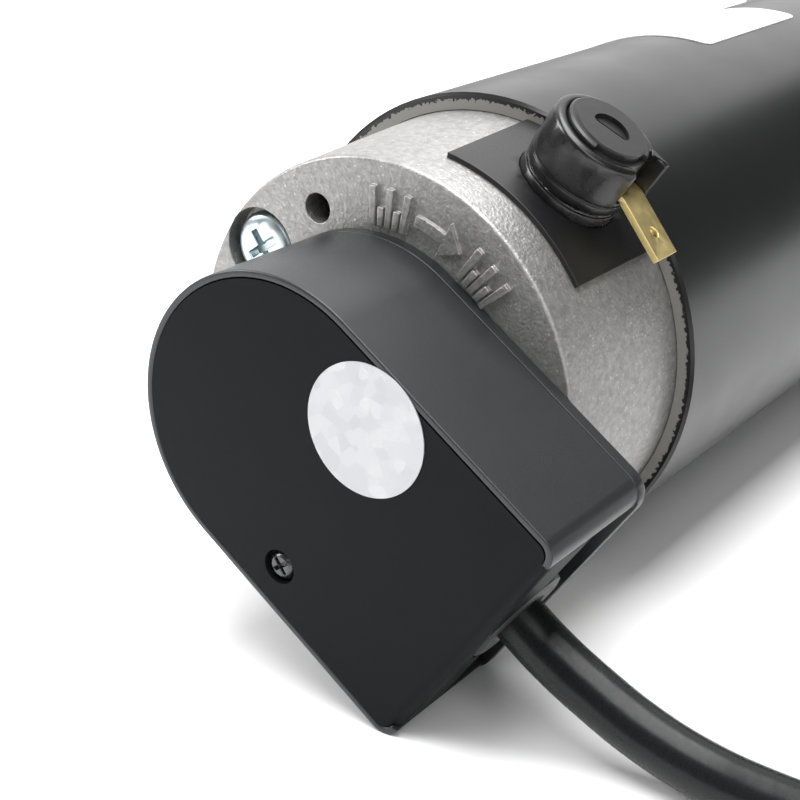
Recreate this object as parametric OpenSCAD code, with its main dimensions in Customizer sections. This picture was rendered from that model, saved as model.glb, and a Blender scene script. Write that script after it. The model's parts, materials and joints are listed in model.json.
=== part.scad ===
// Brushed DC motor with a round 57 mm body, screw-in brushes and a rear optical
// encoder in a keyhole-shaped housing with a short cable.
// X runs along the shaft, out of the front mounting face, where the origin is.
// Z is up for the motor lying on a bench: lie_angle turns the whole motor about
// its shaft to the way it rests. Inside the modules the motor is upright: the
// encoder's round end is at +Z, its cable end at -Z, and the brushes at -Y and +Y.

/* [Motor body] */
// Outside diameter of the steel tube
tube_d = 57; // [56.9:0.1:57.4]
// Wall of the steel tube
tube_wall = 2; // [1.9:0.1:2.1]
// Length of the steel tube
tube_l = 142; // [120:1:160]
// Angle by which the motor is turned about its shaft as it lies
lie_angle = 53.4; // [50:0.1:56]

/* [Front end] */
// Side of the square mounting flange
flange_w = 56.5; // [56.4:0.1:57.4]
// Thickness of the mounting flange
flange_t = 6; // [5:0.5:8]
// Corner radius of the flange
flange_corner_r = 5; // [4:0.5:6]
// Diameter of the centring pilot
pilot_d = 38.1; // [36:0.1:38.1]
// Height of the centring pilot
pilot_h = 1.6; // [1:0.1:2]
// Diameter of the circle of flange holes
flange_pcd = 66.7; // [66:0.1:67]
// Diameter of a flange hole
flange_hole_d = 5.2; // [4.5:0.1:5.5]
// Diameter of the output shaft
shaft_d = 8; // [8:0.1:8]
// How far the shaft stands out of the mounting face
shaft_reach = 21; // [18:0.5:30]

/* [Rear end bell] */
// Length of the bell behind the tube
bell_l = 21.7; // [21:0.1:23]
// Radius of the bell's rear face
bell_face_r = 25.4; // [25:0.1:25.6]
// Radius on which the through bolts stand
bolt_circle_r = 20.5; // [20.3:0.1:20.6]
// Angle of the first through bolt from the top
bolt_angle = 2; // [0:1:5]
// Height of the cast marks on the rear face
mark_h = 0.5; // [0.3:0.1:0.8]

/* [Brush gear] */
// Distance of the brush axis behind the tube's rear rim
brush_back = 6.6; // [6.5:0.1:7]
// Radius of a brush holder's collar
collar_r = 6.35; // [6.25:0.05:6.45]
// Height of the collar's top above the shaft axis
collar_top = 34.2; // [33.5:0.1:35]
// Radius of a brush cap
cap_r = 5; // [4.8:0.05:5]
// Width of a brush terminal
tab_w = 4.2; // [4:0.1:4.4]

/* [Encoder] */
// Radius of the encoder housing's round end
housing_r = 17.4; // [17.2:0.1:17.6]
// Distance of the cable end from the shaft axis
housing_reach = 30.7; // [30.5:0.1:30.8]
// Height of the encoder behind the bell
housing_h = 18.4; // [18:0.1:19]
// Radius of the two corners at the cable end
housing_corner_r = 2.2; // [2.1:0.1:2.4]
// Thickness of the housing's walls
housing_wall = 1.6; // [1.4:0.1:1.8]
// Radius of the code disc
disc_r = 12; // [11:0.1:12]

/* [Cable] */
// Diameter of the encoder cable
cable_d = 6; // [5.8:0.1:6]
// Radius of the coil at the middle of its turns
coil_r = 30; // [30:0.5:30]

/* [Hidden] */
$fn = 96;
slack = 0.05;
tube_r = tube_d / 2;
bore_r = tube_r - tube_wall;
rim_x = -flange_t - tube_l;
bell_x = rim_x - bell_l;
shaft_r = shaft_d / 2;

// Rear end bell
spigot_r = bore_r - 0.1;
spigot_l = 6;
bell_inner_r = 22.8;
bell_face_t = 4.7;
bell_hub_r = 14;
counterbore_r = 4.75;
counterbore_h = 2.6;
plain_hole_r = 1.7;
plain_hole_at = [20.1, 32];
mark_r = 20.3;

// Ball bearings, 8 x 22 x 7
bearing_r = 11;
bearing_w = 7;
race_outer_r = 9;
race_inner_r = 6;
ball_circle_r = 7.5;
ball_r = 1.98;
ball_count = 7;
rear_bearing_x = bell_x + 2.3;
front_bearing_x = -12.9;
washer_t = 0.8;

// Name label
label_from = 46.7;
label_l = 29.3;

// Through bolts
bolt_r = 1.95;
bolt_head_r = 4;
bolt_head_h = 2.2;
bolt_end_x = -2;

// Brush gear
brush_x = rim_x - brush_back;
stem_r = 5.3;
stem_low = 11.6;
brush_w = 7;
brush_t = 5;
brush_top = 22;
guide_clear = 0.1;
cap_bore_r = cap_r + 0.12;
cap_low = 29.5;
cap_top = 34.9;
saddle_t = 0.6;
saddle_half_angle = 23;
saddle_l = 16;
tab_low = 29.9;
tab_x = 0.35;
collar_base_r = 6;

// Rotor
groove_x = 2.2;
groove_w = 0.8;
groove_depth = 0.35;
flat_l = 8;
flat_depth = 0.5;
commutator_r = 10;
core_r = 17.8;
core_x = rim_x + 24;
core_l = tube_l - 45;
slot_count = 12;
magnet_r = core_r + 0.6;
magnet_half_angle = 68;

// Encoder, from the bell outwards
base_t = 1.6;
base_x = bell_x - base_t;
lid_t = 1.6;
rim_w = 0.8;
lid_gap = 0.1;
lid_x = bell_x - housing_h;
lid_low_x = lid_x + lid_t;
board_t = 1.6;
board_x = lid_low_x + 4.6;
post_r = 2.8;
lid_screw_at = [[12.1, -9.6], [-12.1, -9.6]];
base_screw_at = [[9, 9], [-9, 9], [0, -14]];
disc_x = bell_x - 6.5;
stub_r = 3;
cable_x = bell_x - 9;
sticker_r = 7.15;
sticker_at = [-10.1, -8.2];
lip_half_w = 15;
lip_h = 8.4;
lip_t = 1.25;
lip_round_r = 1.6;
end_wall_z = -29.4;
end_wall_t = 1.1;
notch_r = 4;
grommet_r = 6.2;
base_lip = 0.35;
base_corner_r = 2.8;
clamp_low = -27.6;
clamp_w = 3;
clamp_screw_y = 5.6;
clamp_hole_r = 0.9;

// Cable route, from the jacket's end inside the housing to the coil, its X counted from the rear rim
cable_r = cable_d / 2;
route_from_rim = [[-30.7, -19.7, -14.6], [-30.7, -24.3, -18], [-30.9, -29, -21.2], [-31.3, -34.5, -23.9],
    [-31.7, -40.5, -26.2], [-32, -46.8, -27.7], [-32.2, -53, -28.3], [-32.2, -62, -28.4],
    [-32.1, -76, -28], [-32, -91, -27.5]];
route = [for (p = route_from_rim) [rim_x + p[0], p[1], p[2]]];
// Cable route, from the coil's inner turn over the other turns to the plug
tail_from_rim = [[-20, -91, -26.4], [-18.6, -99.2, -24.9], [-14.4, -106.4, -23.3], [-8, -111.8, -22],
    [-0.2, -114.6, -21.5], [10, -115, -21.4], [22, -115, -21.4], [34, -115, -21.6],
    [42, -115, -22.6], [49, -115, -23.8]];
tail_route = [for (p = tail_from_rim) [rim_x + p[0], p[1], p[2]]];
coil_at = [rim_x + 4, -91];
coil_z = -27.5;
coil_outer_r = coil_r + cable_d;
coil_inner_r = coil_r - cable_d;
tie_at = [20, 110];
tie_t = 0.8;
tie_w = 3.5;
plug_at = [rim_x + 49, -115, -23.8];
hood_l = 34;
hood_w = 31;
hood_t = 15;
plug_screw_y = 12.5;

// Helpers

// Place on a circle about the shaft, at an angle from the top towards the upper brush
function polar(r, a) = [-r * sin(a), r * cos(a)];

module lying() rotate([-lie_angle, 0, 0]) children();

// Outline in the plane across the shaft, extruded along X
module plate_x(x, t) translate([x, 0, 0]) rotate([90, 0, 90]) linear_extrude(height = t) children();

// Outline of [radius, x] points turned about the shaft
module lathe_x(points) rotate([0, 90, 0]) rotate_extrude() polygon(points);

module rod_x(r, x, l, at = [0, 0]) translate([x, at[0], at[1]]) rotate([0, 90, 0]) cylinder(r = r, h = l);

module ring_x(r_out, r_in, x, l) {
    difference() {
        rod_x(r_out, x, l);
        rod_x(r_in, x - 1, l + 2);
    }
}

// Part of a ring between two angles, counted like polar()
module arc_x(r_in, r_out, x, l, from, to) {
    translate([x, 0, 0]) rotate([90, 0, 90]) rotate([0, 0, 90 + from])
        rotate_extrude(angle = to - from) translate([r_in, 0]) square([r_out - r_in, l]);
}

// Cross-shaped driver recess in the rear face of a screw head
module cross_recess(x, depth, span, width, at = [0, 0]) {
    for (a = [20, 110])
        translate([x, at[0], at[1]]) rotate([a, 0, 0]) translate([-1, -span / 2, -width / 2])
            cube([depth + 1, span, width]);
}

// Frame of one brush: local Z runs out along the brush axis
module at_brush(side) translate([brush_x, 0, 0]) rotate([90 * side, 0, 0]) children();

module pipe(r_out, r_in, z, h) {
    translate([0, 0, z]) difference() {
        cylinder(r = r_out, h = h);
        translate([0, 0, -1]) cylinder(r = r_in, h = h + 2);
    }
}

module block(low, high) translate(low) cube(high - low);

// Motor body

module motor_tube() {
    color([0.05, 0.05, 0.055]) lying() lathe_x([[bore_r, rim_x], [tube_r - 0.35, rim_x],
        [tube_r, rim_x + 0.35], [tube_r, -flange_t], [bore_r, -flange_t]]);
}

module bell_body() {
    lathe_x([[6, bell_x], [bell_face_r - 0.45, bell_x], [bell_face_r - 0.13, bell_x + 0.13],
        [bell_face_r, bell_x + 0.45], [spigot_r, rim_x], [spigot_r, rim_x + spigot_l],
        [spigot_r - 2, rim_x + spigot_l], [bell_inner_r, rim_x - 2],
        [bell_inner_r, bell_x + bell_face_t], [bell_hub_r, bell_x + bell_face_t],
        [bell_hub_r, rear_bearing_x + bearing_w], [bearing_r, rear_bearing_x + bearing_w],
        [bearing_r, rear_bearing_x - washer_t], [6, rear_bearing_x - washer_t]]);
}

// Cast brush-timing scale with an arrow, standing on the rear face
module cast_marks() {
    mark_x = bell_x - mark_h;
    t = mark_h + 0.1;
    for (a = [54, 60, 66, 92, 98, 104])
        arc_x(mark_r - 2.2, mark_r + 2.2, mark_x, t, a, a + 2.2);
    for (a = [57, 63, 95, 101])
        arc_x(mark_r - 2.2, mark_r, mark_x, t, a, a + 2.2);
    arc_x(mark_r - 0.7, mark_r + 0.7, mark_x, t, 71, 83);
    plate_x(mark_x, t) polygon([polar(mark_r - 2.2, 82), polar(mark_r, 89), polar(mark_r + 2.2, 82)]);
}

module rear_end_bell() {
    color([0.72, 0.71, 0.68]) lying() difference() {
        union() {
            bell_body();
            cast_marks();
        }
        for (side = [1, -1])
            at_brush(side) translate([0, 0, 18]) cylinder(r = stem_r, h = 12);
        for (a = [bolt_angle, bolt_angle + 180]) {
            rod_x(counterbore_r, bell_x - 1, counterbore_h + 1, polar(bolt_circle_r, a));
            rod_x(bolt_r + slack, bell_x, bell_l + spigot_l + 1, polar(bolt_circle_r, a));
        }
        rod_x(plain_hole_r, bell_x - 1, bell_face_t + 2, polar(plain_hole_at[0], plain_hole_at[1]));
        for (p = base_screw_at)
            rod_x(1.2, bell_x - 1, 5, p);
    }
}

module flange_outline() {
    half = flange_w / 2;
    c = flange_corner_r;
    square([flange_w - 2 * c, flange_w], center = true);
    square([flange_w, flange_w - 2 * c], center = true);
    for (y = [-1, 1])
        for (z = [-1, 1])
            translate([y * (half - c), z * (half - c)]) circle(r = c);
}

module front_flange() {
    color([0.74, 0.73, 0.7]) lying() difference() {
        union() {
            plate_x(-flange_t, flange_t) rotate(45) flange_outline();
            rod_x(spigot_r, -13, 7.5);
            lathe_x([[0, -1], [pilot_d / 2, -1], [pilot_d / 2, pilot_h - 0.3], [pilot_d / 2 - 0.3, pilot_h],
                [0, pilot_h]]);
        }
        rod_x(bearing_r, -14, 14 + front_bearing_x + bearing_w);
        rod_x(8, -7, 4.6);
        rod_x(shaft_r + 0.6, -3, 6);
        for (a = [0:90:270])
            rod_x(flange_hole_d / 2, -flange_t - 1, flange_t + 2, polar(flange_pcd / 2, a));
        for (a = [bolt_angle, bolt_angle + 180])
            rod_x(bolt_r + slack, -14, 13, polar(bolt_circle_r, a));
    }
}

module magnet(middle) {
    color([0.2, 0.2, 0.21]) lying()
        arc_x(magnet_r, bore_r, core_x - 4, core_l + 8, middle - magnet_half_angle, middle + magnet_half_angle);
}

module upper_magnet() magnet(90);

module lower_magnet() magnet(270);

module magnet_clips() {
    color([0.6, 0.6, 0.62]) lying() for (a = [0, 180])
        arc_x(bore_r - 0.8, bore_r, core_x, core_l, a - 21, a + 21);
}

module through_bolt(a) {
    head_x = bell_x + counterbore_h - bolt_head_h;
    at = polar(bolt_circle_r, a);
    difference() {
        union() {
            translate([0, at[0], at[1]]) lathe_x([[0, head_x], [bolt_head_r - 1, head_x],
                [bolt_head_r - 0.3, head_x + 0.3], [bolt_head_r, head_x + 1], [bolt_head_r, head_x + bolt_head_h],
                [0, head_x + bolt_head_h]]);
            rod_x(bolt_r, head_x + bolt_head_h, bolt_end_x - head_x - bolt_head_h, at);
        }
        cross_recess(head_x, 1.4, 4.4, 0.9, at);
    }
}

module through_bolts() {
    color([0.72, 0.78, 0.82]) lying() for (a = [bolt_angle, bolt_angle + 180])
        through_bolt(a);
}

// Ball bearings

module bearing_ring(r_out, r_in, x) {
    color([0.75, 0.76, 0.78]) lying() difference() {
        ring_x(r_out, r_in, x, bearing_w);
        translate([x + bearing_w / 2, 0, 0]) rotate([0, 90, 0])
            rotate_extrude() translate([ball_circle_r, 0]) circle(r = ball_r + slack, $fn = 48);
    }
}

module bearing_balls(x) {
    color([0.82, 0.83, 0.85]) lying() translate([x + bearing_w / 2, 0, 0]) union() {
        ring_x(ball_circle_r + 0.9, ball_circle_r - 0.9, -0.8, 1.6);
        for (i = [0:ball_count - 1])
            rotate([i * 360 / ball_count, 0, 0]) translate([0, 0, ball_circle_r]) sphere(r = ball_r, $fn = 48);
    }
}

module rear_bearing_outer_ring() bearing_ring(bearing_r, race_outer_r, rear_bearing_x);

module rear_bearing_inner_ring() bearing_ring(race_inner_r, shaft_r, rear_bearing_x);

module rear_bearing_balls() bearing_balls(rear_bearing_x);

module front_bearing_outer_ring() bearing_ring(bearing_r, race_outer_r, front_bearing_x);

module front_bearing_inner_ring() bearing_ring(race_inner_r, shaft_r, front_bearing_x);

module front_bearing_balls() bearing_balls(front_bearing_x);

module wave_washer() {
    color([0.65, 0.66, 0.68]) lying() ring_x(bearing_r - 0.1, race_outer_r + 0.1, rear_bearing_x - washer_t, washer_t);
}

module shaft_seal() {
    color([0.1, 0.1, 0.1]) lying() ring_x(8, shaft_r + slack, -5.4, 3);
}

module name_label() {
    half_w = tube_r * sin(26);
    c = 1.3;
    color([0.92, 0.92, 0.92]) lying() intersection() {
        arc_x(tube_r, tube_r + 0.12, rim_x + 40, 40, 10, 70);
        rotate([40, 0, 0]) linear_extrude(height = tube_r + 1) union() {
            translate([rim_x + label_from + c, -half_w]) square([label_l - 2 * c, 2 * half_w]);
            translate([rim_x + label_from, -half_w + c]) square([label_l, 2 * (half_w - c)]);
            for (x = [c, label_l - c])
                for (y = [c - half_w, half_w - c])
                    translate([rim_x + label_from + x, y]) circle(r = c);
        }
    }
}

// Brush gear

// Round bakelite holder with a screwed cap bore, a brush guide and a terminal slot
module brush_holder(side) {
    slot_r = tab_w / 2 + 0.15;
    color([0.07, 0.07, 0.075]) lying() difference() {
        union() {
            at_brush(side) translate([0, 0, stem_low]) cylinder(r = stem_r, h = 20);
            at_brush(side) rotate_extrude() polygon([[0, 24], [collar_base_r, 24], [collar_base_r, 27.2],
                [collar_base_r - 0.25, 27.35], [collar_base_r - 0.25, 27.65], [collar_base_r + 0.05, 27.8],
                [collar_r - 0.15, 28.9], [collar_r - 0.25, 29], [collar_r - 0.25, 29.1], [collar_r - 0.12, 29.2],
                [collar_r, collar_top - 0.6], [collar_r - 0.18, collar_top - 0.18], [collar_r - 0.6, collar_top],
                [0, collar_top]]);
            at_brush(side) block([tab_x + slot_r, -6.6, 28.5], [tab_x + slot_r + 1, -4, collar_top + 0.5]);
        }
        bell_cutter();
        at_brush(side) translate([0, 0, cap_low]) cylinder(r = cap_bore_r, h = 8);
        at_brush(side) block([-brush_w / 2 - guide_clear, -brush_t / 2 - guide_clear, stem_low - 1],
            [brush_w / 2 + guide_clear, brush_t / 2 + guide_clear, cap_low + 1]);
        at_brush(side) block([tab_x - slot_r, -9, tab_low], [tab_x + slot_r, -3, collar_top + 1]);
    }
}

// What the bell's outside takes away from a collar that stands on it
module bell_cutter() {
    lathe_x([[0, bell_x - 3], [bell_face_r, bell_x - 3], [bell_face_r, bell_x + 0.45], [spigot_r, rim_x],
        [spigot_r, rim_x + 1], [stem_low, rim_x + 1], [stem_low, rim_x + 1.01], [0, rim_x + 1.01]]);
}

// Screw cap with a driver slot, a half-round sink beside it and a notch in its rim
module brush_cap(side) {
    slot_turn = 20;
    slot_depth = 2.7;
    slot_half = 1.6;
    slot_r = 0.6;
    color([0.09, 0.09, 0.1]) lying() at_brush(side) difference() {
        union() {
            translate([0, 0, 31]) cylinder(r = cap_r - 0.6, h = cap_top - 31.6);
            rotate_extrude() polygon([[0, 32.6], [cap_r, 32.6], [cap_r, cap_top - 0.35],
                [cap_r - 0.25, cap_top - 0.15], [cap_r - 0.7, cap_top - 0.15], [cap_r - 0.8, cap_top], [0, cap_top]]);
        }
        rotate(slot_turn) union() {
            block([-slot_r, -slot_half, cap_top - slot_depth], [slot_r, slot_half, cap_top + 1]);
            for (y = [-slot_half, slot_half])
                translate([0, y, cap_top - slot_depth]) cylinder(r = slot_r, h = slot_depth + 1);
        }
        rotate(slot_turn) intersection() {
            translate([0, 0, cap_top - 0.5]) cylinder(r = slot_half + slot_r, h = 2);
            block([0, -3, cap_top - 0.5], [3, 3, cap_top + 2]);
        }
        rotate(194) rotate_extrude(angle = 91) translate([cap_r - 0.65, cap_top - 0.8]) square([1, 2]);
    }
}

// Coil spring between brush and cap, as a close stack of rings joined by one strip
module brush_spring(side) {
    turns = 6;
    low = brush_top;
    pitch = (31 - low) / turns;
    color([0.75, 0.7, 0.55]) lying() at_brush(side) union() {
        for (i = [0:turns - 1])
            translate([0, 0, low + (i + 0.5) * pitch]) rotate_extrude($fn = 32)
                translate([1.9, 0]) circle(r = 0.3, $fn = 16);
        block([1.65, -0.25, low], [2.15, 0.25, 31]);
    }
}

module brush(side) {
    color([0.16, 0.16, 0.17]) lying() difference() {
        at_brush(side) block([-brush_w / 2, -brush_t / 2, 8], [brush_w / 2, brush_t / 2, brush_top]);
        rod_x(commutator_r + slack, brush_x - 6, 12);
    }
}

// Flat brass tab that leaves the holder through its slot and bends down
module terminal(side) {
    color([0.85, 0.66, 0.25]) lying() at_brush(side) difference() {
        translate([tab_x - tab_w / 2, 0, 0]) rotate([90, 0, 90]) linear_extrude(height = tab_w)
            polygon([[-2.7, 30.2], [-5.9, 30.2], [-6.2, 30.15], [-6.5, 30], [-13.2, 27.9], [-13.4, 28.6],
                [-6.75, 30.7], [-6.35, 30.85], [-5.95, 30.9], [-2.7, 30.9]]);
        translate([tab_x, -10.6, 26]) cylinder(r = 0.6, h = 6);
    }
}

module saddle(side) {
    color([0.08, 0.08, 0.09]) lying() difference() {
        rotate([90, 0, 90]) rotate([0, 0, 90 + 90 * side - saddle_half_angle])
            rotate_extrude(angle = 2 * saddle_half_angle) polygon([[bell_edge_r(-saddle_l), rim_x - saddle_l],
                [spigot_r, rim_x - 0.1], [spigot_r + saddle_t, rim_x - 0.1],
                [bell_edge_r(-saddle_l) + saddle_t, rim_x - saddle_l]]);
        at_brush(side) translate([0, 0, 20]) cylinder(r = collar_base_r + slack, h = 20);
    }
}

// Radius of the bell's side at a distance behind the tube's rim
function bell_edge_r(x) = spigot_r + (spigot_r - bell_face_r) * x / (bell_l - 0.45);

module upper_brush_holder() brush_holder(1);

module upper_brush_cap() brush_cap(1);

module upper_brush_spring() brush_spring(1);

module upper_brush() brush(1);

module upper_terminal() terminal(1);

module upper_saddle() saddle(1);

module lower_brush_holder() brush_holder(-1);

module lower_brush_cap() brush_cap(-1);

module lower_brush_spring() brush_spring(-1);

module lower_brush() brush(-1);

module lower_terminal() terminal(-1);

module lower_saddle() saddle(-1);

// Rotor

module motor_shaft() {
    stub_end = bell_x - 9.3;
    color([0.7, 0.71, 0.73]) lying() difference() {
        lathe_x([[0, stub_end], [stub_r - 0.3, stub_end], [stub_r, stub_end + 0.3], [stub_r, bell_x + 1],
            [shaft_r, bell_x + 1], [shaft_r, rear_bearing_x + bearing_w], [shaft_r + 1, rear_bearing_x + bearing_w],
            [shaft_r + 1, front_bearing_x], [shaft_r, front_bearing_x], [shaft_r, groove_x],
            [shaft_r - groove_depth, groove_x], [shaft_r - groove_depth, groove_x + groove_w],
            [shaft_r, groove_x + groove_w], [shaft_r, shaft_reach - 0.5], [shaft_r - 0.5, shaft_reach],
            [0, shaft_reach]]);
        block([shaft_reach - flat_l, shaft_r - flat_depth, -shaft_r], [shaft_reach + 1, shaft_r + 1, shaft_r]);
    }
}

module core_outline() {
    difference() {
        circle(r = core_r);
        circle(r = shaft_r + 1);
        for (i = [0:slot_count - 1])
            rotate(i * 360 / slot_count) {
                translate([9.6, -1.7]) square([6.4, 3.4]);
                translate([15, -0.8]) square([5, 1.6]);
            }
    }
}

module armature_core() {
    color([0.45, 0.45, 0.47]) lying() plate_x(core_x, core_l) core_outline();
}

module end_turns(x) {
    lathe_x([[7.5, x], [16, x], [17.2, x + 1.5], [17.2, x + 7], [15.5, x + 9], [9.5, x + 9], [7.5, x + 7.5]]);
}

module armature_windings() {
    color([0.62, 0.32, 0.14]) lying() union() {
        end_turns(core_x + core_l);
        translate([2 * core_x, 0, 0]) mirror([1, 0, 0]) end_turns(core_x);
        plate_x(core_x - 0.5, core_l + 1) for (i = [0:slot_count - 1])
            rotate(i * 360 / slot_count) translate([9.7, -1.6]) square([6.2, 3.2]);
    }
}

module commutator_hub() {
    color([0.35, 0.18, 0.1]) lying() ring_x(7, shaft_r + 1, rim_x - 11, 17);
}

module commutator_bars() {
    color([0.78, 0.45, 0.25]) lying() difference() {
        lathe_x([[7, rim_x - 11], [commutator_r, rim_x - 11], [commutator_r, rim_x + 3], [11.4, rim_x + 3],
            [11.4, rim_x + 5.5], [7, rim_x + 5.5]]);
        for (i = [0:slot_count - 1])
            rotate([(i + 0.5) * 360 / slot_count, 0, 0]) block([rim_x - 12, 5, -0.3], [rim_x + 7, 12, 0.3]);
    }
}

// Encoder

// Keyhole outline of the encoder: a round end and a square one with rounded corners
module keyhole(r = housing_r, reach = housing_reach, corner = housing_corner_r) {
    circle(r = r);
    translate([-r, -reach + corner]) square([2 * r, reach - corner]);
    translate([-r + corner, -reach]) square([2 * (r - corner), 2 * corner]);
    for (side = [-1, 1])
        translate([side * (r - corner), -reach + corner]) circle(r = corner);
}

// The same outline, smaller all round
module inner_keyhole(inset) keyhole(housing_r - inset, housing_reach - inset, max(housing_corner_r - inset, 0.4));

module encoder_base_plate() {
    color([0.1, 0.1, 0.105]) lying() difference() {
        union() {
            plate_x(base_x, base_t) keyhole(housing_r, housing_reach + base_lip, base_corner_r);
            for (p = lid_screw_at)
                rod_x(post_r, board_x, base_x - board_x, p);
            block([cable_x, -7.5, clamp_low], [base_x, 7.5, clamp_low + clamp_w]);
        }
        rod_x(8, base_x - 1, 4);
        for (p = base_screw_at)
            rod_x(1.3, base_x - 1, 4, p);
        for (p = lid_screw_at)
            rod_x(1.3, board_x - 1, 8, p);
        for (y = [-clamp_screw_y, clamp_screw_y])
            rod_x(clamp_hole_r, cable_x - 1, 6, [y, clamp_low + clamp_w / 2]);
        translate([cable_x, 0, -30]) cylinder(r = cable_r + slack, h = 10);
    }
}

module screw_x(x, l, r, head_r, head_h, at) {
    difference() {
        union() {
            translate([0, at[0], at[1]]) lathe_x([[0, x], [head_r - 0.5, x], [head_r, x + 0.5],
                [head_r, x + head_h], [0, x + head_h]]);
            rod_x(r, x + head_h, l, at);
        }
        cross_recess(x, 0.8, head_r * 1.25, 0.45, at);
    }
}

module base_screws() {
    color([0.7, 0.71, 0.73]) lying() for (p = base_screw_at)
        screw_x(base_x - 1.4, 5, 1.15, 2.1, 1.4, p);
}

// Housing, open towards the lid; its cable end is set back between two corner columns
module encoder_housing() {
    color([0.09, 0.09, 0.1]) lying() difference() {
        plate_x(lid_x, housing_h - base_t) keyhole();
        plate_x(lid_x - 1, lid_t + 1) inner_keyhole(rim_w);
        plate_x(lid_x, housing_h)
            keyhole(housing_r - housing_wall, -end_wall_z - end_wall_t, housing_corner_r - housing_wall + 0.4);
        block([lid_x - 1, -lip_half_w - lid_gap, -housing_reach - 1], [base_x + 1, lip_half_w + lid_gap, end_wall_z]);
        translate([cable_x, 0, -40]) cylinder(r = notch_r, h = 20);
        block([lid_x - 1, -notch_r, -40], [cable_x, notch_r, -20]);
    }
}

// Section of the lid along its middle: a flat plate that rolls over the cable end
module lid_section() {
    low = -housing_reach;
    translate([lid_x, low + lip_round_r]) square([lid_t, 60]);
    translate([lid_x + lip_round_r, low]) square([lip_h - lip_round_r, lip_t]);
    intersection() {
        translate([lid_x + lip_round_r, low + lip_round_r]) circle(r = lip_round_r);
        translate([lid_x, low]) square([lip_round_r, lip_round_r]);
    }
}

module lid_bar(half_w) translate([0, half_w, 0]) rotate([90, 0, 0]) linear_extrude(height = 2 * half_w) lid_section();

module encoder_lid() {
    color([0.06, 0.065, 0.07]) lying() difference() {
        union() {
            intersection() {
                plate_x(lid_x, lid_t) inner_keyhole(rim_w + lid_gap);
                lid_bar(20);
            }
            intersection() {
                lid_bar(lip_half_w);
                block([lid_x - 1, -20, -40], [lid_x + lip_h + 1, 20, -28]);
            }
            block([lid_x + 1, -notch_r + lid_gap, end_wall_z - 0.2], [cable_x, notch_r - lid_gap, end_wall_z + end_wall_t]);
            for (p = lid_screw_at)
                rod_x(2.7, lid_low_x - 0.2, board_x - board_t - lid_low_x + 0.2, p);
        }
        translate([cable_x, 0, end_wall_z - lip_t - 1]) cylinder(r = grommet_r + lid_gap, h = lip_t + 1);
        translate([cable_x, 0, -40]) cylinder(r = notch_r, h = 20);
        for (p = lid_screw_at) {
            rod_x(2, lid_x - 1, 2, p);
            rod_x(1.3, lid_x, 12, p);
        }
    }
}

module lid_screws() {
    color([0.12, 0.12, 0.13]) lying() for (p = lid_screw_at)
        screw_x(lid_x + 0.15, 9, 1.2, 1.65, 0.85, p);
}

module encoder_board() {
    color([0.08, 0.3, 0.16]) lying() difference() {
        plate_x(board_x - board_t, board_t) intersection() {
            inner_keyhole(2);
            translate([-20, -21.5]) square([40, 34]);
        }
        for (p = lid_screw_at)
            rod_x(1.35, board_x - 3, 5, p);
    }
}

module optical_reader() {
    color([0.12, 0.12, 0.14]) lying() difference() {
        block([board_x, -5, -15.8], [board_x + 7, 5, -8.4]);
        block([disc_x - 1, -6, -13], [disc_x + 1.4, 6, -8]);
    }
}

module board_connector() {
    color([0.9, 0.89, 0.84]) lying() block([board_x, -5, -21.2], [board_x + 4.2, 5, -16.6]);
}

module encoder_leads() {
    color([0.75, 0.2, 0.15]) lying() for (y = [-2:1:2])
        translate([cable_x, y, -24.5]) cylinder(r = 0.42, h = 3.3, $fn = 24);
}

module cable_clamp() {
    color([0.7, 0.71, 0.73]) lying() difference() {
        union() {
            block([cable_x - 1, -7.2, clamp_low], [cable_x, 7.2, clamp_low + clamp_w]);
            translate([cable_x, 0, clamp_low]) cylinder(r = cable_r + 1, h = clamp_w);
        }
        translate([cable_x, 0, -30]) cylinder(r = cable_r + slack, h = 10);
        block([cable_x, -8, -28], [cable_x + 8, 8, -24]);
        for (y = [-clamp_screw_y, clamp_screw_y])
            rod_x(clamp_hole_r, cable_x - 3, 6, [y, clamp_low + clamp_w / 2]);
    }
}

module clamp_screws() {
    color([0.7, 0.71, 0.73]) lying() for (y = [-clamp_screw_y, clamp_screw_y])
        screw_x(cable_x - 2, 4, clamp_hole_r - slack, 1.5, 1, [y, clamp_low + clamp_w / 2]);
}

// Round bushing: a broad collar outside the wall, a neck in it and a flange inside
module cable_grommet() {
    low = -housing_reach - 0.2;
    inside = end_wall_z + end_wall_t;
    neck = notch_r - slack;
    color([0.05, 0.05, 0.055]) lying() translate([cable_x, 0, 0]) rotate_extrude() polygon([[cable_r, low + 0.6],
        [cable_r + 0.6, low], [grommet_r - 0.7, low], [grommet_r - 0.2, low + 0.2], [grommet_r, low + 0.7],
        [grommet_r, end_wall_z - slack], [neck, end_wall_z - slack], [neck, inside + slack], [4.7, inside + slack],
        [4.7, inside + 0.6], [cable_r, inside + 0.6]]);
}

module disc_hub() {
    color([0.78, 0.78, 0.8]) lying() difference() {
        lathe_x([[stub_r, disc_x - 1.2], [4.4, disc_x - 1.2], [4.4, disc_x + 0.4], [6.5, disc_x + 0.4],
            [6.5, disc_x + 4.6], [stub_r, disc_x + 4.6]]);
        translate([disc_x + 2.5, 0, 0]) cylinder(r = 1.05, h = 8);
    }
}

module code_disc() {
    color([0.75, 0.78, 0.8]) lying() difference() {
        ring_x(disc_r, 4.4, disc_x, 0.4);
        for (i = [0:35])
            rotate([i * 10, 0, 0]) block([disc_x - 1, -0.25, 9.4], [disc_x + 1, 0.25, 11.2]);
    }
}

module hub_set_screw() {
    color([0.15, 0.15, 0.16]) lying() difference() {
        translate([disc_x + 2.5, 0, stub_r]) cylinder(r = 1, h = 3.2);
        translate([disc_x + 2.5, 0, 5]) cylinder(r = 0.5, h = 3, $fn = 6);
    }
}

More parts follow.
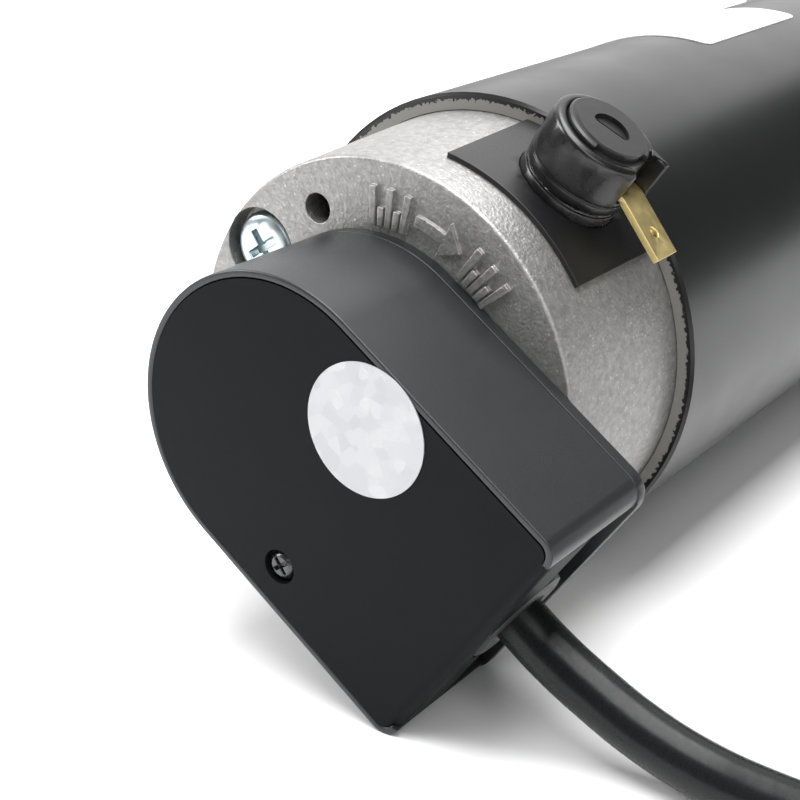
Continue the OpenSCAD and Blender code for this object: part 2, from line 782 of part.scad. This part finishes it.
module round_sticker() {
    color([0.9, 0.9, 0.91]) lying() rod_x(sticker_r, lid_x - 0.12, 0.12, sticker_at);
}

// Cable and plug. These lie on the bench, so they aren't turned with the motor

function unit(v) = v / norm(v);
function heading(path, i) = unit(path[min(i + 1, len(path) - 1)] - path[max(i - 1, 0)]);
function ring_at(path, i, r, n) =
    let(t = heading(path, i), s = unit(cross(t, [0, 0, 1])), u = cross(s, t))
    [for (k = [0:n - 1]) path[i] + r * cos(k * 360 / n) * s + r * sin(k * 360 / n) * u];

module swept_tube(path, r, n = 12) {
    rings = len(path);
    points = [for (i = [0:rings - 1]) each ring_at(path, i, r, n)];
    sides = [for (i = [0:rings - 2]) for (k = [0:n - 1])
        [i * n + k, i * n + (k + 1) % n, (i + 1) * n + (k + 1) % n, (i + 1) * n + k]];
    first = [for (k = [0:n - 1]) n - 1 - k];
    last = [for (k = [0:n - 1]) (rings - 1) * n + k];
    polyhedron(points = points, faces = concat([first], sides, [last]));
}

module encoder_cable() color([0.06, 0.06, 0.06]) swept_tube(route, cable_r);

module cable_tail() color([0.06, 0.06, 0.06]) swept_tube(tail_route, cable_r);

// Stadium across the turns of the coil, with its two ends at the given radii
module bundle_outline(from, to, r) {
    for (x = [from, to])
        translate([x, coil_z]) circle(r = r);
    translate([from, coil_z - r]) square([to - from, 2 * r]);
}

module cable_coil() {
    color([0.06, 0.06, 0.06]) translate([coil_at[0], coil_at[1], 0]) rotate_extrude()
        bundle_outline(coil_inner_r, coil_outer_r, cable_r);
}

// The cable winds inwards by one diameter a turn, so a tie's place across the coil goes with its angle
module coil_tie(a) {
    outer = coil_outer_r - cable_d * (a + 180) / 360;
    inner = outer - cable_d;
    gap = cable_r + 0.1;
    translate([coil_at[0], coil_at[1], 0]) rotate([0, 0, a]) union() {
        translate([0, tie_w / 2, 0]) rotate([90, 0, 0]) linear_extrude(height = tie_w) difference() {
            bundle_outline(inner, outer, gap + tie_t);
            bundle_outline(inner, outer, gap);
        }
        block([inner - 2, -2.3, coil_z + gap + 0.2], [inner + 2.4, 2.3, coil_z + gap + 3.6]);
    }
}

module coil_ties() {
    color([0.9, 0.9, 0.88]) for (a = tie_at)
        coil_tie(a);
}

module at_plug() translate(plug_at) children();

module plug_hood() {
    color([0.1, 0.1, 0.11]) at_plug() difference() {
        translate([0, 0, -hood_t / 2]) linear_extrude(height = hood_t) polygon([[0, -5.5], [0, 5.5], [7, 8],
            [12, hood_w / 2], [hood_l, hood_w / 2], [hood_l, -hood_w / 2], [12, -hood_w / 2], [7, -8]]);
        rod_x(cable_r, -1, 11);
        block([10, -9, -5], [hood_l + 1, 9, 5]);
        for (y = [-plug_screw_y, plug_screw_y]) {
            rod_x(1.7, 10, hood_l, [y, 0]);
            rod_x(2.8, 5, 6.6, [y, 0]);
        }
    }
}

module d_outline(w, h, slope) {
    polygon([[-w / 2, h / 2], [w / 2, h / 2], [w / 2 - slope, -h / 2], [-w / 2 + slope, -h / 2]]);
}

module plug_shell() {
    color([0.78, 0.78, 0.76]) at_plug() difference() {
        union() {
            block([hood_l, -15.4, -6.2], [hood_l + 1, 15.4, 6.2]);
            plate_x(hood_l + 0.5, 6.3) d_outline(16.6, 8, 1.4);
        }
        plate_x(hood_l - 1, 9) d_outline(15.6, 7, 1.3);
        for (y = [-plug_screw_y, plug_screw_y])
            rod_x(1.7, hood_l - 1, 4, [y, 0]);
    }
}

function contact_places() = concat([for (i = [-2:2]) [i * 2.77, 1.42]], [for (i = [-1.5:1.5]) [i * 2.77, -1.42]]);

module plug_insert() {
    color([0.12, 0.14, 0.2]) at_plug() difference() {
        plate_x(hood_l - 4, 10.6) d_outline(15.5, 6.9, 1.3);
        for (p = contact_places())
            rod_x(0.8, hood_l - 5, 13, p);
    }
}

module plug_contacts() {
    color([0.85, 0.7, 0.35]) at_plug() for (p = contact_places())
        difference() {
            rod_x(0.8, hood_l - 7, 13.4, p);
            rod_x(0.5, hood_l + 1, 7, p);
        }
}

module plug_screws() {
    color([0.8, 0.8, 0.8]) at_plug() for (y = [-plug_screw_y, plug_screw_y])
        difference() {
            union() {
                rod_x(1.6, 11, hood_l - 5, [y, 0]);
                rod_x(2.6, 6.4, 5, [y, 0]);
            }
            block([5, y - 3, -0.4], [7.4, y + 3, 0.4]);
        }
}

motor_tube();
rear_end_bell();
front_flange();
upper_magnet();
lower_magnet();
magnet_clips();
through_bolts();
rear_bearing_outer_ring();
rear_bearing_inner_ring();
rear_bearing_balls();
front_bearing_outer_ring();
front_bearing_inner_ring();
front_bearing_balls();
wave_washer();
shaft_seal();
name_label();
upper_brush_holder();
upper_brush_cap();
upper_brush_spring();
upper_brush();
upper_terminal();
upper_saddle();
lower_brush_holder();
lower_brush_cap();
lower_brush_spring();
lower_brush();
lower_terminal();
lower_saddle();
motor_shaft();
armature_core();
armature_windings();
commutator_hub();
commutator_bars();
encoder_base_plate();
base_screws();
encoder_housing();
encoder_lid();
lid_screws();
encoder_board();
optical_reader();
board_connector();
encoder_leads();
cable_clamp();
clamp_screws();
cable_grommet();
disc_hub();
code_disc();
hub_set_screw();
round_sticker();
encoder_cable();
cable_coil();
cable_tail();
coil_ties();
plug_hood();
plug_shell();
plug_insert();
plug_contacts();
plug_screws();
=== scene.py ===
"""Looks for a brushed DC motor with a rear encoder, lying on a pale table.

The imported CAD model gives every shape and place. This script adds the camera, the cable
as one smooth curve, rounded edges on the parts that show, a material for every part,
the table and the light. Lengths are metres; MM turns the part's millimetres into them.
"""

import json
import math

import bmesh
import bpy
from mathutils import Matrix, Vector


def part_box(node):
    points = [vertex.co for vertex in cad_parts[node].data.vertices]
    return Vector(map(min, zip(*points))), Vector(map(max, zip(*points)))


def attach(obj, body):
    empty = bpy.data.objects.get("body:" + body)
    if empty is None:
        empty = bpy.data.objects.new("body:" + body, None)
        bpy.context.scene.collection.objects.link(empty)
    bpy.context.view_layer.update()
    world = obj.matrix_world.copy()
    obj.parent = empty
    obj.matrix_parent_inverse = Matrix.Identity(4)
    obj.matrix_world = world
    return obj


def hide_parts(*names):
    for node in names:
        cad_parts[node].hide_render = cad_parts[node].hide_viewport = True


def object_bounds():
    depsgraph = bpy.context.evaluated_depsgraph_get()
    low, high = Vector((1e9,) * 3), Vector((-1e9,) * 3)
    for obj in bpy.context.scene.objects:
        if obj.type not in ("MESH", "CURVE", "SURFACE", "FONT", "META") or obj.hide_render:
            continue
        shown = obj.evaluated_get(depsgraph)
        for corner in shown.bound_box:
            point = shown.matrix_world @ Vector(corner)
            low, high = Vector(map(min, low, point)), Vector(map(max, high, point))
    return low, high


MM = 0.001

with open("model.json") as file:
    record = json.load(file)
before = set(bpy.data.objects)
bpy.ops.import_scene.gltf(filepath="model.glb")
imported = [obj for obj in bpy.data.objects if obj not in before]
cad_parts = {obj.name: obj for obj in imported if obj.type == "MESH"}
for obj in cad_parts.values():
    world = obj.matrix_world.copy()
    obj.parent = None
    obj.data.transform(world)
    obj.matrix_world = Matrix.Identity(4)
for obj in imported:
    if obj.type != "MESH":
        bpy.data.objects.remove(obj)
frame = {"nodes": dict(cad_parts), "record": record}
cad_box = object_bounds()
nodes = frame["nodes"]
bodies = frame["record"]["behaviour"]["bodies"]
body_of = {node: body for body, members in bodies.items() for node in members}
slot_of = {part["node"]: part["material_slot"] for part in frame["record"]["subparts"]}


# Camera, behind the encoder on the -Y side, looking forward and down along the motor

CAMERA_AT = Vector((-304.26, -102.19, 64.81)) * MM
CAMERA_RIGHT = Vector((0.585807, -0.810255, -0.017796))
CAMERA_UP = Vector((0.309744, 0.203543, 0.928778))
CAMERA_LENS = 72.6
CAMERA_SENSOR = 36


def add_camera():
    data = bpy.data.cameras.new("camera")
    data.lens = CAMERA_LENS
    data.sensor_width = CAMERA_SENSOR
    data.clip_start = 0.01
    camera = bpy.data.objects.new("camera", data)
    bpy.context.scene.collection.objects.link(camera)
    back = CAMERA_RIGHT.cross(CAMERA_UP).normalized()
    turn = Matrix((CAMERA_RIGHT, CAMERA_UP, back)).transposed()
    camera.matrix_world = Matrix.Translation(CAMERA_AT) @ turn.to_4x4()
    bpy.context.scene.camera = camera


add_camera()


# Cable: the part's route, then almost two flat turns that wind inwards, then over them to the plug

CABLE_D = 6 * MM
ROUTE = [
    (-178.7, -19.7, -14.6),
    (-178.7, -24.3, -18),
    (-178.9, -29, -21.2),
    (-179.3, -34.5, -23.9),
    (-179.7, -40.5, -26.2),
    (-180, -46.8, -27.7),
    (-180.2, -53, -28.3),
    (-180.2, -62, -28.4),
    (-180.1, -76, -28),
]
TAIL_ROUTE = [
    (-168, -91, -26.4),
    (-166.6, -99.2, -24.9),
    (-162.4, -106.4, -23.3),
    (-156, -111.8, -22),
    (-148.2, -114.6, -21.5),
    (-138, -115, -21.4),
    (-126, -115, -21.4),
    (-114, -115, -21.6),
    (-106, -115, -22.6),
    (-99, -115, -23.8),
]
COIL_AT = (-144, -91, -27.5)
COIL_OUTER_R = 36
COIL_PITCH = 6
COIL_FROM = 180
COIL_TO = 870
COIL_STEP = 15


def coil_points():
    """Points of the turns, each a cable's diameter inside the one before."""
    out = []
    for angle in range(COIL_FROM, COIL_TO + 1, COIL_STEP):
        r = COIL_OUTER_R - COIL_PITCH * (angle - COIL_FROM) / 360
        turn = math.radians(angle)
        out.append((COIL_AT[0] + r * math.cos(turn), COIL_AT[1] + r * math.sin(turn), COIL_AT[2]))
    return out


def add_cable():
    points = ROUTE + coil_points() + TAIL_ROUTE
    data = bpy.data.curves.new("cable_run", "CURVE")
    data.dimensions = "3D"
    data.resolution_u = 8
    data.bevel_depth = 1
    data.bevel_resolution = 8
    data.use_fill_caps = True
    spline = data.splines.new("BEZIER")
    spline.bezier_points.add(len(points) - 1)
    for knot, point in zip(spline.bezier_points, points):
        knot.co = Vector(point) * MM
        knot.handle_left_type = knot.handle_right_type = "AUTO"
        knot.radius = CABLE_D / 2
    cable = bpy.data.objects.new("cable_run", data)
    bpy.context.scene.collection.objects.link(cable)
    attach(cable, "root")
    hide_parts("encoder_cable", "cable_coil", "cable_tail")
    return cable


cable = add_cable()


# Rounded edges: a copy of a CAD node with its sharp edges turned over

WELD_DISTANCE = 0.002
ROUND_STEPS = 2
SHARP_ANGLE = 28


def soften(name, width):
    """Replaces a node by a copy whose edges sharper than SHARP_ANGLE degrees are rounded."""
    mesh = nodes[name].data.copy()
    mesh.name = name + "_soft"
    bm = bmesh.new()
    bm.from_mesh(mesh)
    bmesh.ops.remove_doubles(bm, verts=bm.verts, dist=WELD_DISTANCE * MM)
    bm.to_mesh(mesh)
    bm.free()
    copy = bpy.data.objects.new(name + "_soft", mesh)
    bpy.context.scene.collection.objects.link(copy)
    bevel = copy.modifiers.new("round", "BEVEL")
    bevel.width = width * MM
    bevel.segments = ROUND_STEPS
    bevel.limit_method = "ANGLE"
    bevel.angle_limit = math.radians(SHARP_ANGLE)
    bevel.use_clamp_overlap = False
    bevel.miter_outer = "MITER_ARC"
    mesh.shade_smooth()
    normals = copy.modifiers.new("normals", "WEIGHTED_NORMAL")
    normals.keep_sharp = True
    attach(copy, body_of[name])
    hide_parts(name)
    return copy


# Width of the rounding in millimetres, by node
SOFT_EDGES = {
    "rear_end_bell": 0.12,
    "encoder_housing": 0.2,
    "encoder_base_plate": 0.15,
    "upper_brush_holder": 0.15,
    "lower_brush_holder": 0.15,
    "upper_terminal": 0.06,
    "lower_terminal": 0.06,
    "upper_saddle": 0.08,
    "lower_saddle": 0.08,
    "through_bolts": 0.12,
    "lid_screws": 0.08,
    "coil_ties": 0.2,
    "plug_hood": 0.7,
    "plug_shell": 0.15,
}
softened = {name: soften(name, width) for name, width in SOFT_EDGES.items()}
shown = {**nodes, **softened}


# Materials

class Finish:
    """One Principled material, and short ways to add textures to it.

    Sizes of texture detail are in millimetres, and a texture stays fixed to its part.
    """

    def __init__(self, name, colour, rough, metal=0.0, **sockets):
        self.material = bpy.data.materials.new(name)
        self.material.use_nodes = True
        self.tree = self.material.node_tree
        self.shader = self.tree.nodes["Principled BSDF"]
        self.shader.inputs["Base Color"].default_value = (*colour, 1)
        self.shader.inputs["Roughness"].default_value = rough
        self.shader.inputs["Metallic"].default_value = metal
        for socket, value in sockets.items():
            self.shader.inputs[socket.replace("_", " ")].default_value = value
        self.place = self.node("ShaderNodeTexCoord").outputs["Object"]

    def node(self, kind, **options):
        made = self.tree.nodes.new(kind)
        for key, value in options.items():
            setattr(made, key, value)
        return made

    def link(self, output, made, socket):
        self.tree.links.new(output, made.inputs[socket])

    def to_shader(self, output, socket):
        self.link(output, self.shader, socket)

    def noise(self, size, detail=3.0, distortion=0.0, place=None):
        made = self.node("ShaderNodeTexNoise")
        made.inputs["Scale"].default_value = 1 / (size * MM)
        made.inputs["Detail"].default_value = detail
        made.inputs["Distortion"].default_value = distortion
        self.link(place or self.place, made, "Vector")
        return made.outputs["Fac"]

    def cells(self, size, output="Distance"):
        made = self.node("ShaderNodeTexVoronoi")
        made.inputs["Scale"].default_value = 1 / (size * MM)
        self.link(self.place, made, "Vector")
        return made.outputs[output]

    def stretched(self, x, y, z):
        """The part's coordinates with texture detail drawn out by these factors."""
        made = self.node("ShaderNodeMapping")
        made.inputs["Scale"].default_value = (1 / x, 1 / y, 1 / z)
        self.link(self.place, made, "Vector")
        return made.outputs["Vector"]

    def along(self, axis):
        made = self.node("ShaderNodeSeparateXYZ")
        self.link(self.place, made, "Vector")
        return made.outputs[axis]

    def radius(self):
        """Distance from the shaft's axis, in metres."""
        flat = self.node("ShaderNodeVectorMath", operation="MULTIPLY")
        flat.inputs[1].default_value = (0, 1, 1)
        self.link(self.place, flat, 0)
        length = self.node("ShaderNodeVectorMath", operation="LENGTH")
        self.link(flat.outputs["Vector"], length, 0)
        return length.outputs["Value"]

    def remap(self, value, low, high, to_low, to_high):
        made = self.node("ShaderNodeMapRange")
        limits = {"From Min": low, "From Max": high, "To Min": to_low, "To Max": to_high}
        for socket, number in limits.items():
            made.inputs[socket].default_value = number
        self.link(value, made, "Value")
        return made.outputs["Result"]

    def math(self, operation, first, second):
        made = self.node("ShaderNodeMath", operation=operation)
        for place, value in enumerate((first, second)):
            if isinstance(value, (int, float)):
                made.inputs[place].default_value = value
            else:
                self.link(value, made, place)
        return made.outputs["Value"]

    def blend(self, factor, first, second):
        """Colour that goes from first to second as factor goes from 0 to 1."""
        made = self.node("ShaderNodeMix", data_type="RGBA")
        self.link(factor, made, 0)
        for place, value in ((6, first), (7, second)):
            if isinstance(value, tuple):
                made.inputs[place].default_value = (*value, 1)
            else:
                self.link(value, made, place)
        return made.outputs[2]

    def bump(self, *layers):
        """Bump from layers of (height, depth in mm, strength), the coarsest first."""
        normal = None
        for height, depth, strength in layers:
            made = self.node("ShaderNodeBump")
            made.inputs["Distance"].default_value = depth * MM
            made.inputs["Strength"].default_value = strength
            self.link(height, made, "Height")
            if normal:
                self.link(normal, made, "Normal")
            normal = made.outputs["Normal"]
        self.to_shader(normal, "Normal")


def shade(colour, factor):
    return tuple(min(1.0, channel * factor) for channel in colour)


def plain_finish(name, colour, rough, metal=0.0, grain=0.5, vary=0.12):
    """Even material with a mottled colour, an uneven roughness and a fine grain."""
    rough_vary = 0.06
    depth = 0.01
    made = Finish(name, colour, rough, metal)
    mottle = made.noise(grain * 8, detail=4)
    fine = made.noise(grain, detail=2)
    made.to_shader(made.blend(mottle, shade(colour, 1 - vary), shade(colour, 1 + vary)), "Base Color")
    made.to_shader(made.remap(fine, 0.3, 0.7, rough - rough_vary, rough + rough_vary), "Roughness")
    made.bump((mottle, depth * 3, 0.3), (fine, depth, 0.6))
    return made


def black_paint():
    """Satin spray paint on the tube, with bare steel specks on its cut rear rim."""
    black = (0.0055, 0.0057, 0.006)
    bare_steel = (0.2, 0.195, 0.18)
    rim_depth = (0.03 * MM, 0.12 * MM)
    bare_radii = (27.2 * MM, 28.1 * MM)
    made = Finish("black_paint", black, 0.3, Specular_IOR_Level=0.4)
    rim = made.remap(made.along("X"), RIM_X + rim_depth[0], RIM_X + rim_depth[1], 1.0, 0.0)
    edge = made.remap(made.radius(), *bare_radii, 0.35, -0.25)
    specks = made.remap(made.math("ADD", made.noise(0.5, detail=5), edge), 0.5, 0.56, 0.0, 1.0)
    bare = made.math("MULTIPLY", rim, specks)
    made.to_shader(made.blend(bare, black, bare_steel), "Base Color")
    made.to_shader(made.remap(made.noise(9, detail=2), 0.3, 0.7, 0.28, 0.33), "Roughness")
    made.bump((made.noise(1.4, detail=2), 0.004, 0.2), (made.noise(0.3, detail=2), 0.002, 0.3))
    return made


def cast_aluminium():
    """Die-cast and shot-blasted aluminium, finely grained all over."""
    grey = (0.34, 0.336, 0.33)
    made = Finish("cast_aluminium", grey, 0.42, 0.85)
    sand = made.noise(0.34, detail=3)
    pits = made.cells(0.4)
    mottle = made.noise(0.8, detail=5)
    colour = made.blend(made.remap(mottle, 0.35, 0.65, 0, 1), shade(grey, 0.86), shade(grey, 1.1))
    sparkle = made.remap(made.cells(0.22, output="Color"), 0.84, 1.0, 0.0, 0.7)
    made.to_shader(made.blend(sparkle, colour, (0.7, 0.7, 0.68)), "Base Color")
    made.to_shader(made.remap(sand, 0.3, 0.7, 0.42, 0.58), "Roughness")
    made.bump((pits, 0.06, 0.5), (sand, 0.07, 0.8))
    return made


def moulded_plastic(name, black, rough, shine=0.5, depth=0.012):
    """Black plastic moulded in a fine spark-eroded texture."""
    made = Finish(name, black, rough, Specular_IOR_Level=shine)
    fine = made.noise(0.2, detail=3)
    broad = made.noise(5, detail=3)
    made.to_shader(made.blend(broad, shade(black, 0.9), shade(black, 1.12)), "Base Color")
    made.to_shader(made.remap(fine, 0.3, 0.7, rough - 0.05, rough + 0.06), "Roughness")
    made.bump((fine, depth, 0.6),)
    return made


def bakelite(name, black, rough):
    """Glossy moulded bakelite with faint flow marks."""
    made = Finish(name, black, rough, Specular_IOR_Level=0.55)
    flow = made.noise(2.5, detail=5, distortion=1.2)
    fine = made.noise(0.2, detail=2)
    made.to_shader(made.blend(flow, shade(black, 0.8), shade(black, 1.35)), "Base Color")
    made.to_shader(made.remap(flow, 0.3, 0.7, rough - 0.05, rough + 0.07), "Roughness")
    made.bump((flow, 0.02, 0.2), (fine, 0.005, 0.3))
    return made


def brushed_metal(name, colour, rough, stretch=(1, 12, 12)):
    """Metal with fine scratches drawn out one way."""
    grain = 0.4
    made = Finish(name, colour, rough, 1.0)
    scratch = made.noise(grain, detail=4, place=made.stretched(*stretch))
    stain = made.noise(2.5, detail=4)
    made.to_shader(made.blend(stain, shade(colour, 0.85), shade(colour, 1.1)), "Base Color")
    made.to_shader(made.remap(scratch, 0.3, 0.7, rough - 0.07, rough + 0.1), "Roughness")
    made.bump((scratch, 0.006, 0.4),)
    return made


def bright_sheet(name, colour, rough):
    """Bright rolled sheet with faint stains and small dents."""
    made = Finish(name, colour, rough, 1.0)
    stain = made.noise(1.5, detail=4)
    dents = made.noise(0.5, detail=2)
    made.to_shader(made.blend(stain, shade(colour, 0.88), shade(colour, 1.08)), "Base Color")
    made.to_shader(made.remap(stain, 0.3, 0.7, rough - 0.06, rough + 0.08), "Roughness")
    made.bump((dents, 0.02, 0.3),)
    return made


def cable_pvc():
    """Soft satin PVC jacket, a little uneven over the wires inside."""
    black = (0.007, 0.0074, 0.008)
    made = Finish("cable_pvc", black, 0.3, Specular_IOR_Level=0.22)
    lumps = made.noise(6, detail=2)
    fine = made.noise(0.4, detail=3)
    made.to_shader(made.blend(lumps, shade(black, 0.8), shade(black, 1.25)), "Base Color")
    made.to_shader(made.remap(fine, 0.3, 0.7, 0.25, 0.32), "Roughness")
    made.bump((lumps, 0.3, 0.5), (fine, 0.008, 0.4))
    return made


def faceted_label(name, pale, dark, size):
    """Label film with faint silvery facets."""
    made = Finish(name, pale, 0.3, 0.25)
    facets = made.remap(made.cells(size, output="Color"), 0.0, 1.0, 0.0, 1.0)
    made.to_shader(made.blend(facets, pale, dark), "Base Color")
    made.to_shader(made.remap(facets, 0, 1, 0.22, 0.4), "Roughness")
    made.bump((made.noise(0.5), 0.004, 0.3),)
    return made


def laminated_steel():
    """Stack of thin steel sheets, seen as fine rings along the shaft."""
    steel = (0.3, 0.3, 0.32)
    sheet_bands = 3.1
    made = Finish("core_steel", steel, 0.4, 1.0)
    sheets = made.node("ShaderNodeTexWave", wave_type="BANDS", bands_direction="X")
    sheets.inputs["Scale"].default_value = 1 / (sheet_bands * MM)
    made.link(made.place, sheets, "Vector")
    made.to_shader(made.blend(sheets.outputs["Fac"], shade(steel, 0.6), shade(steel, 1.2)), "Base Color")
    made.to_shader(made.remap(made.noise(1), 0.3, 0.7, 0.33, 0.5), "Roughness")
    made.bump((sheets.outputs["Fac"], 0.05, 0.5),)
    return made


def copper_wire():
    """Enamelled wire, wound in strands."""
    copper = (0.55, 0.2, 0.08)
    strand_bands = 3
    made = Finish("copper_wire", copper, 0.3, 0.9, Coat_Weight=0.4)
    strands = made.node("ShaderNodeTexWave", wave_type="BANDS", bands_direction="DIAGONAL")
    strands.inputs["Scale"].default_value = 1 / (strand_bands * MM)
    strands.inputs["Distortion"].default_value = 1.5
    made.link(made.place, strands, "Vector")
    made.to_shader(made.blend(strands.outputs["Fac"], shade(copper, 0.5), shade(copper, 1.2)), "Base Color")
    made.to_shader(made.remap(made.noise(2), 0.3, 0.7, 0.24, 0.38), "Roughness")
    made.bump((strands.outputs["Fac"], 0.2, 0.6),)
    return made


RIM_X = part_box("motor_tube")[0].x
for material in list(bpy.data.materials):
    bpy.data.materials.remove(material)

finishes = [
    black_paint(),
    cast_aluminium(),
    moulded_plastic("housing_plastic", (0.014, 0.015, 0.0165), 0.38, depth=0.02),
    moulded_plastic("lid_plastic", (0.005, 0.006, 0.0064), 0.5, shine=0.08),
    moulded_plastic("hood_plastic", (0.016, 0.016, 0.017), 0.4),
    moulded_plastic("reader_plastic", (0.02, 0.02, 0.022), 0.45),
    bakelite("bakelite", (0.005, 0.005, 0.0052), 0.28),
    bakelite("bakelite_cap", (0.008, 0.008, 0.0084), 0.38),
    bright_sheet("brass", (1.0, 0.78, 0.36), 0.4),
    bright_sheet("zinc_screw", (0.6, 0.68, 0.71), 0.34),
    brushed_metal("nickel_shell", (0.7, 0.69, 0.66), 0.25),
    brushed_metal("nickel_screw", (0.72, 0.71, 0.69), 0.25),
    brushed_metal("ground_steel", (0.62, 0.62, 0.63), 0.22, stretch=(0.3, 1, 1)),
    brushed_metal("bearing_steel", (0.66, 0.66, 0.68), 0.16, stretch=(0.3, 1, 1)),
    brushed_metal("spring_steel", (0.5, 0.5, 0.52), 0.3),
    brushed_metal("copper_bar", (0.72, 0.36, 0.2), 0.3, stretch=(0.4, 1, 1)),
    brushed_metal("gold_contact", (0.85, 0.62, 0.25), 0.2),
    brushed_metal("hub_aluminium", (0.7, 0.7, 0.71), 0.28, stretch=(0.3, 1, 1)),
    brushed_metal("disc_metal", (0.72, 0.74, 0.76), 0.18),
    faceted_label("white_sticker", (0.47, 0.47, 0.48), (0.37, 0.38, 0.4), 1.6),
    faceted_label("white_label", (0.86, 0.86, 0.86), (0.82, 0.82, 0.82), 6),
    laminated_steel(),
    copper_wire(),
    cable_pvc(),
    plain_finish("ferrite", (0.06, 0.06, 0.065), 0.6, grain=0.3),
    plain_finish("seal_rubber", (0.015, 0.015, 0.015), 0.6, grain=0.3),
    plain_finish("grommet_rubber", (0.014, 0.014, 0.015), 0.5, grain=0.3),
    plain_finish("hub_resin", (0.13, 0.05, 0.025), 0.4, grain=0.6),
    plain_finish("black_screw", (0.09, 0.09, 0.095), 0.3, 0.9, grain=0.25),
    plain_finish("circuit_board", (0.02, 0.11, 0.05), 0.35, grain=0.8),
    plain_finish("connector_nylon", (0.75, 0.73, 0.66), 0.45, grain=0.5, vary=0.05),
    plain_finish("lead_pvc", (0.45, 0.04, 0.03), 0.4, grain=0.4),
    plain_finish("tie_nylon", (0.72, 0.72, 0.7), 0.4, grain=0.5, vary=0.05),
    plain_finish("insert_plastic", (0.02, 0.025, 0.05), 0.4, grain=0.3),
    plain_finish("carbon", (0.025, 0.025, 0.027), 0.5, grain=0.2),
    plain_finish("fibre_sheet", (0.006, 0.006, 0.0068), 0.4, grain=0.25, vary=0.05),
]
finish_named = {finish.material.name: finish.material for finish in finishes}


def dress(piece, material):
    piece.data.materials.clear()
    piece.data.materials.append(material)


for name, piece in shown.items():
    dress(piece, finish_named[slot_of[name]])
for name in softened:
    dress(nodes[name], finish_named[slot_of[name]])
dress(cable, finish_named["cable_pvc"])


# Table and light

TABLE_Z = min(cad_box[0].z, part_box("encoder_housing")[0].z)
TABLE_HALF = 3
WORLD_STRENGTH = 0.12
# Name, place, point aimed at, width and height in metres, watts
LIGHTS = [
    ("key", (0.55, 0.45, 0.65), (-0.12, 0, 0), (1.4, 1.4), 9),
    ("top", (-0.12, -0.1, 1.0), (-0.12, 0, 0), (1.2, 0.6), 21),
    ("left", (-0.5, 0.75, 0.5), (-0.15, 0, 0), (0.4, 0.4), 7),
    ("fill", (-0.6, -0.6, 0.6), (-0.15, -0.05, 0), (0.6, 0.6), 3.5),
]


def add_table():
    bm = bmesh.new()
    bmesh.ops.create_grid(bm, x_segments=1, y_segments=1, size=TABLE_HALF)
    mesh = bpy.data.meshes.new("table")
    bm.to_mesh(mesh)
    bm.free()
    table = bpy.data.objects.new("table", mesh)
    table.location.z = TABLE_Z
    bpy.context.scene.collection.objects.link(table)
    made = Finish("table_white", (0.9, 0.9, 0.9), 0.6)
    made.to_shader(made.blend(made.noise(40), (0.89, 0.89, 0.89), (0.91, 0.91, 0.91)), "Base Color")
    mesh.materials.append(made.material)


def add_light(name, at, aim, size, watts):
    data = bpy.data.lights.new(name, "AREA")
    data.shape = "RECTANGLE"
    data.size, data.size_y = size
    data.energy = watts
    light = bpy.data.objects.new(name, data)
    bpy.context.scene.collection.objects.link(light)
    light.location = at
    light.rotation_mode = "QUATERNION"
    light.rotation_quaternion = (Vector(aim) - Vector(at)).to_track_quat("-Z", "Y")


def add_world():
    world = bpy.data.worlds.new("studio")
    world.use_nodes = True
    background = world.node_tree.nodes["Background"]
    background.inputs["Color"].default_value = (1, 1, 1, 1)
    background.inputs["Strength"].default_value = WORLD_STRENGTH
    bpy.context.scene.world = world


add_table()
add_world()
for light in LIGHTS:
    add_light(*light)
bpy.context.scene.view_settings.view_transform = "Standard"
